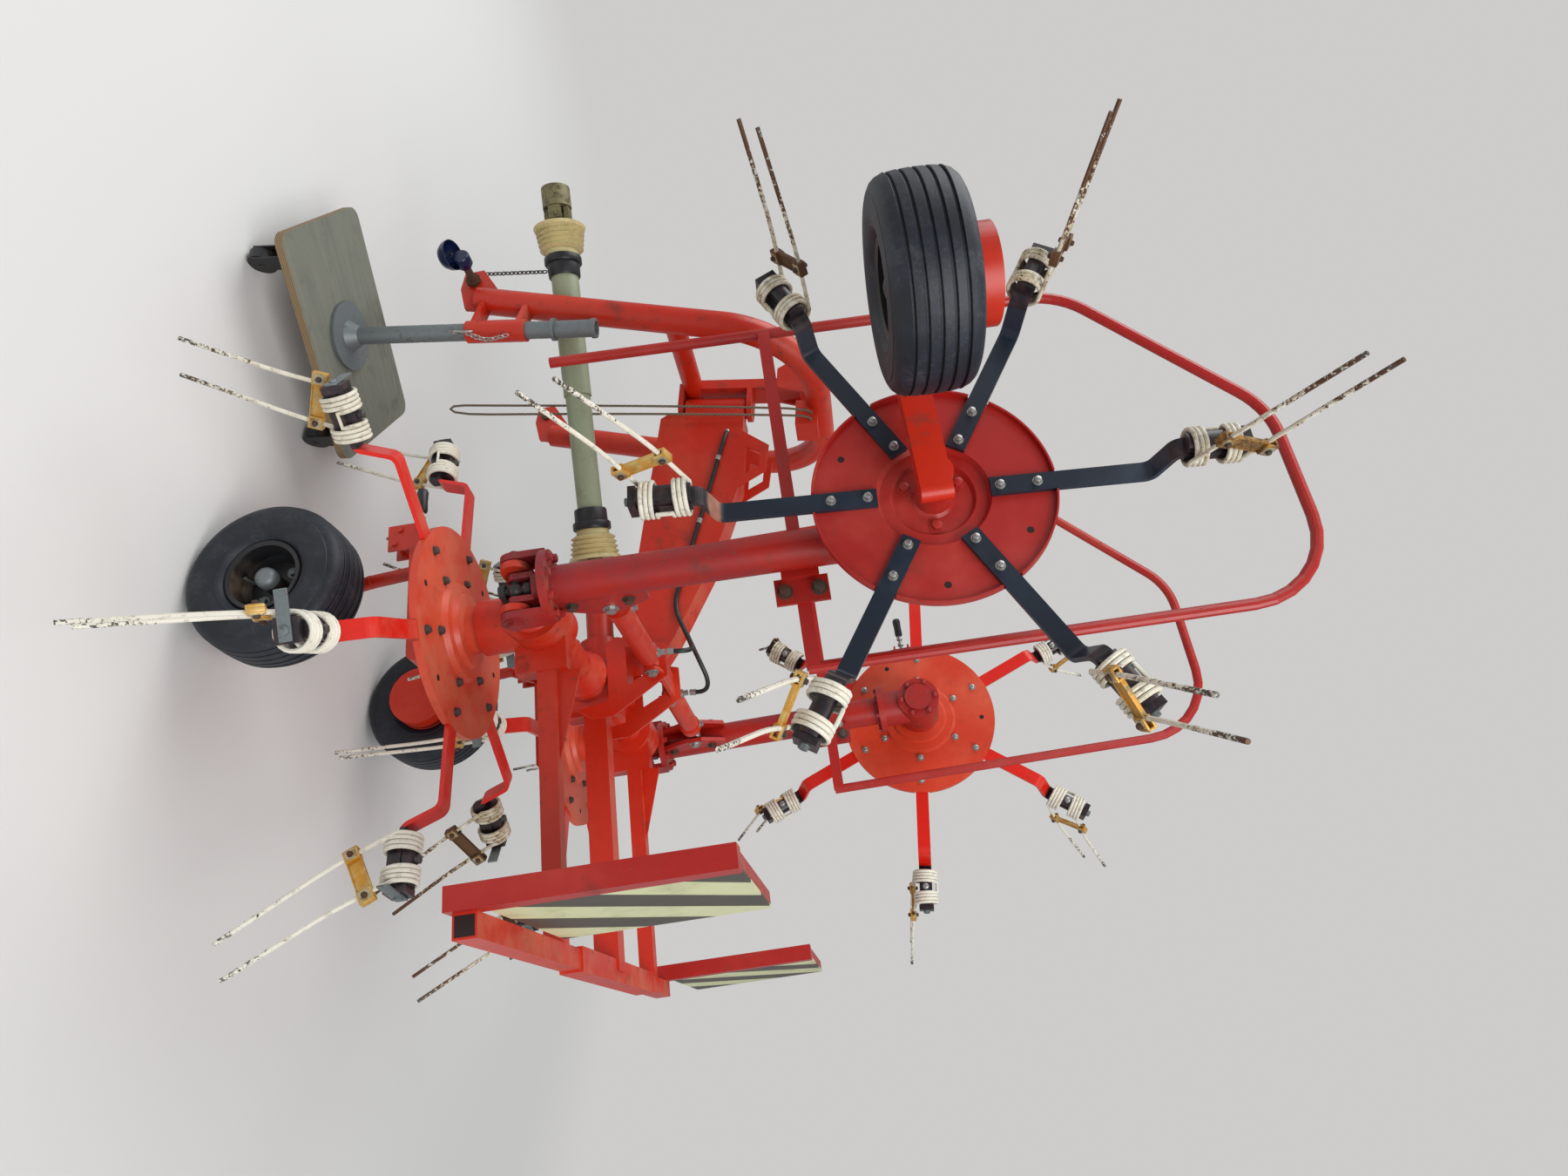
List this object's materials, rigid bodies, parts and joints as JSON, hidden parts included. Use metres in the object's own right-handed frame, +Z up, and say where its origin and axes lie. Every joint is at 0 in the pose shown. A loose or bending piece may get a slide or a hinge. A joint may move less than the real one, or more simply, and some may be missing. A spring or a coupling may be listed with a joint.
{
  "type": "hay tedder",
  "caption": "Mounted hay tedder with folding side booms, tined rotors, ground wheels, pivoting headstock and drive shaft, parked on a stand leg and a small dolly.",
  "frame": {"origin": "middle of the floor that the parked machine covers", "axes": "+X towards the machine's right side, +Y towards the tractor, +Z up"},
  "size_m": [2.6678, 2.2461, 2.6209],
  "materials": {
    "red_paint": "gloss",
    "crimson_paint": "gloss",
    "dark_paint": "satin",
    "spring_steel": "satin",
    "rubber": "matte",
    "bare_steel": "satin",
    "panel_sheet": "matte",
    "wood": "matte",
    "guard_plastic": "satin",
    "cone_plastic": "satin",
    "rope": "matte"
  },
  "bodies": {
    "frame": {"main_beam": "red_paint", "center_gearbox": "red_paint", "axle_left": "red_paint", "axle_right": "red_paint", "cylinder_bracket": "red_paint", "drive_joint_left": "dark_paint", "drive_joint_right": "dark_paint", "rear_frame": "red_paint", "panel_post_left": "crimson_paint", "panel_post_right": "crimson_paint", "panel_left": "panel_sheet", "panel_right": "panel_sheet", "wheel_leg_inner_left": "red_paint", "wheel_leg_inner_right": "red_paint", "dolly_board": "wood", "dolly_casters": "dark_paint"},
    "headstock": {"headstock": "red_paint", "hitch_pin_left": "bare_steel", "hitch_pin_right": "bare_steel", "pull_rope": "rope"},
    "stand": {"stand_leg": "bare_steel"},
    "shaft": {"shaft_guard": "guard_plastic", "shaft_cones": "cone_plastic", "shaft_yokes": "bare_steel"},
    "boom_left": {"boom_left": "red_paint", "guard_hoop_left": "red_paint", "wheel_leg_outer_left": "red_paint"},
    "cylinder_left": {"cylinder_barrel_left": "red_paint"},
    "rod_left": {"cylinder_rod_left": "bare_steel"},
    "boom_right": {"boom_right": "red_paint", "guard_hoop_right": "red_paint", "wheel_leg_outer_right": "red_paint"},
    "cylinder_right": {"cylinder_barrel_right": "red_paint"},
    "rod_right": {"cylinder_rod_right": "bare_steel"},
    "rotor_inner_left": {"disc_inner_left": "red_paint", "arms_inner_left": "red_paint", "tines_inner_left": "spring_steel"},
    "wheel_inner_left": {"tyre_inner_left": "rubber", "rim_inner_left": "dark_paint"},
    "rotor_inner_right": {"disc_inner_right": "red_paint", "arms_inner_right": "red_paint", "tines_inner_right": "spring_steel"},
    "wheel_inner_right": {"tyre_inner_right": "rubber", "rim_inner_right": "crimson_paint"},
    "rotor_outer_left": {"disc_outer_left": "crimson_paint", "arms_outer_left": "dark_paint", "tines_outer_left": "spring_steel"},
    "wheel_outer_left": {"tyre_outer_left": "rubber", "rim_outer_left": "dark_paint"},
    "rotor_outer_right": {"disc_outer_right": "red_paint", "arms_outer_right": "red_paint", "tines_outer_right": "spring_steel"},
    "wheel_outer_right": {"tyre_outer_right": "rubber", "rim_outer_right": "dark_paint"}
  },
  "joints": [
    {"name": "headstock_swing", "type": "hinge", "parent": "frame", "child": "headstock", "pos_m": [0, 0.5978, 1.14], "axis": [0, 0, 1], "range_deg": [-6, 6]},
    {"name": "stand_slide", "type": "slide", "parent": "headstock", "child": "stand", "axis": [0, 0, 1], "range_m": [0, 0.2]},
    {"name": "shaft_swivel", "type": "hinge", "parent": "frame", "child": "shaft", "pos_m": [0, 0.04677, 0.83165], "axis": [0, 0, 1], "range_deg": [-2, 2]},
    {"name": "fold_left", "type": "hinge", "parent": "frame", "child": "boom_left", "pos_m": [-0.621, -0.3052, 0.862], "axis": [0, -0.9854, 0.1702], "range_deg": [0, 92]},
    {"name": "cylinder_pivot_left", "type": "hinge", "parent": "frame", "child": "cylinder_left", "pos_m": [-0.12, -0.27286, 1.04923], "axis": [0, -0.9854, 0.1702], "range_deg": [0, 6]},
    {"name": "rod_slide_left", "type": "slide", "parent": "cylinder_left", "child": "rod_left", "axis": [-1, -0.0013, -0.0073], "range_m": [0, 0.29]},
    {"name": "fold_right", "type": "hinge", "parent": "frame", "child": "boom_right", "pos_m": [0.621, -0.3052, 0.862], "axis": [0, 0.9854, -0.1702], "range_deg": [0, 92]},
    {"name": "cylinder_pivot_right", "type": "hinge", "parent": "frame", "child": "cylinder_right", "pos_m": [0.12, -0.27286, 1.04923], "axis": [0, 0.9854, -0.1702], "range_deg": [0, 6]},
    {"name": "rod_slide_right", "type": "slide", "parent": "cylinder_right", "child": "rod_right", "axis": [1, -0.0013, -0.0073], "range_m": [0, 0.29]},
    {"name": "spin_inner_left", "type": "hinge", "parent": "frame", "child": "rotor_inner_left", "pos_m": [-0.46, -0.33669, 0.6797], "axis": [0, 0.1702, 0.9854], "continuous": true},
    {"name": "wheel_spin_inner_left", "type": "hinge", "parent": "frame", "child": "wheel_inner_left", "pos_m": [-0.466, -0.21846, 0.195], "axis": [-1, 0, 0], "continuous": true},
    {"name": "spin_inner_right", "type": "hinge", "parent": "frame", "child": "rotor_inner_right", "pos_m": [0.46, -0.33669, 0.6797], "axis": [0, 0.1702, 0.9854], "continuous": true},
    {"name": "wheel_spin_inner_right", "type": "hinge", "parent": "frame", "child": "wheel_inner_right", "pos_m": [0.466, -0.21846, 0.195], "axis": [1, 0, 0], "continuous": true},
    {"name": "spin_outer_left", "type": "hinge", "parent": "boom_left", "child": "rotor_outer_left", "pos_m": [-0.74411, -0.14931, 1.76449], "axis": [0.9994, -0.0059, -0.0344], "continuous": true},
    {"name": "wheel_spin_outer_left", "type": "hinge", "parent": "boom_left", "child": "wheel_outer_left", "pos_m": [-1.13822, 0.05334, 1.7333], "axis": [0.0349, 0.1701, 0.9848], "continuous": true},
    {"name": "spin_outer_right", "type": "hinge", "parent": "boom_right", "child": "rotor_outer_right", "pos_m": [0.74411, -0.14931, 1.76449], "axis": [-0.9994, -0.0059, -0.0344], "continuous": true},
    {"name": "wheel_spin_outer_right", "type": "hinge", "parent": "boom_right", "child": "wheel_outer_right", "pos_m": [1.13822, 0.05334, 1.7333], "axis": [-0.0349, 0.1701, 0.9848], "continuous": true}
  ],
  "couplings": [
    {"joint": "shaft_swivel", "follows": "headstock_swing", "ratio": 0.33},
    {"joint": "cylinder_pivot_left", "follows": "fold_left", "ratio": 0.061},
    {"joint": "rod_slide_left", "follows": "fold_left", "m_per_rad": 0.17977},
    {"joint": "cylinder_pivot_right", "follows": "fold_right", "ratio": 0.061},
    {"joint": "rod_slide_right", "follows": "fold_right", "m_per_rad": 0.17977},
    {"joint": "spin_inner_right", "follows": "spin_inner_left", "ratio": -1},
    {"joint": "spin_outer_left", "follows": "spin_inner_left", "ratio": -1},
    {"joint": "spin_outer_right", "follows": "spin_inner_left", "ratio": 1}
  ]
}
